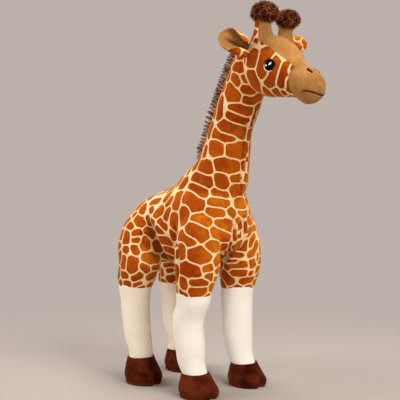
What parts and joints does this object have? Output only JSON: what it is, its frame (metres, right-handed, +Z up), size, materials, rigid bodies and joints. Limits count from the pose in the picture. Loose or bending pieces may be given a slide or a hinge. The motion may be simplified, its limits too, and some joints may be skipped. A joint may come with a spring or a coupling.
{
  "type": "plush giraffe",
  "caption": "Standing plush giraffe of stuffed fabric covers, with legs that give at the hips, a nodding head, flapping ears and a swinging tail.",
  "frame": {"origin": "on the ground, under the middle of the giraffe's length and width", "axes": "+X towards the nose, +Y to the giraffe's left, +Z up"},
  "size_m": [0.351, 0.1415, 0.4992],
  "materials": {
    "patched_plush": "short pile plush, burnt orange patches edged in cream",
    "tan_plush": "short pile plush",
    "cream_plush": "short pile plush",
    "hoof_plush": "short pile plush, dark brown",
    "mane_pile": "upright brown pile",
    "dark_fur": "curly faux fur",
    "eye_thread": "satin embroidery",
    "fibre": "loose polyester fibre"
  },
  "bodies": {
    "trunk": {"torso_cover": "patched_plush", "torso_filling": "fibre", "neck_cover": "patched_plush", "neck_filling": "fibre", "mane": "mane_pile"},
    "front_right_leg": {"front_right_upper_cover": "patched_plush", "front_right_stocking": "cream_plush", "front_right_hoof_cover": "hoof_plush", "front_right_sole": "hoof_plush", "front_right_filling": "fibre"},
    "front_left_leg": {"front_left_upper_cover": "patched_plush", "front_left_stocking": "cream_plush", "front_left_hoof_cover": "hoof_plush", "front_left_sole": "hoof_plush", "front_left_filling": "fibre"},
    "hind_right_leg": {"hind_right_upper_cover": "patched_plush", "hind_right_stocking": "cream_plush", "hind_right_hoof_cover": "hoof_plush", "hind_right_sole": "hoof_plush", "hind_right_filling": "fibre"},
    "hind_left_leg": {"hind_left_upper_cover": "patched_plush", "hind_left_stocking": "cream_plush", "hind_left_hoof_cover": "hoof_plush", "hind_left_sole": "hoof_plush", "hind_left_filling": "fibre"},
    "head": {"head_cover": "patched_plush", "blaze_panel": "tan_plush", "muzzle_cover": "tan_plush", "head_filling": "fibre", "right_eye": "eye_thread", "left_eye": "eye_thread", "right_horn_cover": "tan_plush", "right_horn_filling": "fibre", "right_horn_tuft": "dark_fur", "left_horn_cover": "tan_plush", "left_horn_filling": "fibre", "left_horn_tuft": "dark_fur"},
    "right_ear": {"right_ear_outer": "patched_plush", "right_ear_lining": "tan_plush"},
    "left_ear": {"left_ear_outer": "patched_plush", "left_ear_lining": "tan_plush"},
    "tail": {"tail_cord": "patched_plush", "tail_tuft": "dark_fur"}
  },
  "joints": [
    {"name": "front_right_hip", "type": "hinge", "parent": "trunk", "child": "front_right_leg", "pos_m": [0.01338, -0.0435, 0.172], "axis": [0, 1, 0], "range_deg": [-14, 6], "stiffness_Nm_per_rad": 0.6},
    {"name": "front_left_hip", "type": "hinge", "parent": "trunk", "child": "front_left_leg", "pos_m": [0.01338, 0.0435, 0.172], "axis": [0, 1, 0], "range_deg": [-14, 6], "stiffness_Nm_per_rad": 0.6},
    {"name": "hind_right_hip", "type": "hinge", "parent": "trunk", "child": "hind_right_leg", "pos_m": [-0.10194, -0.0435, 0.172], "axis": [0, 1, 0], "range_deg": [-6, 14], "stiffness_Nm_per_rad": 0.6},
    {"name": "hind_left_hip", "type": "hinge", "parent": "trunk", "child": "hind_left_leg", "pos_m": [-0.10519, 0.0435, 0.172], "axis": [0, 1, 0], "range_deg": [-6, 14], "stiffness_Nm_per_rad": 0.6},
    {"name": "head_nod", "type": "hinge", "parent": "trunk", "child": "head", "pos_m": [0.06509, 0, 0.41435], "axis": [0, 1, 0], "range_deg": [-12, 8], "stiffness_Nm_per_rad": 0.8},
    {"name": "right_ear_flap", "type": "hinge", "parent": "head", "child": "right_ear", "pos_m": [0.08578, -0.02961, 0.44169], "axis": [0, 0.4408, 0.8976], "range_deg": [-25, 20], "stiffness_Nm_per_rad": 0.02},
    {"name": "left_ear_flap", "type": "hinge", "parent": "head", "child": "left_ear", "pos_m": [0.08578, 0.02961, 0.44169], "axis": [0, 0.4408, -0.8976], "range_deg": [-25, 20], "stiffness_Nm_per_rad": 0.02},
    {"name": "tail_swing", "type": "hinge", "parent": "trunk", "child": "tail", "pos_m": [-0.1408, 0, 0.22791], "axis": [1, 0, 0], "range_deg": [-40, 40], "stiffness_Nm_per_rad": 0.02}
  ]
}
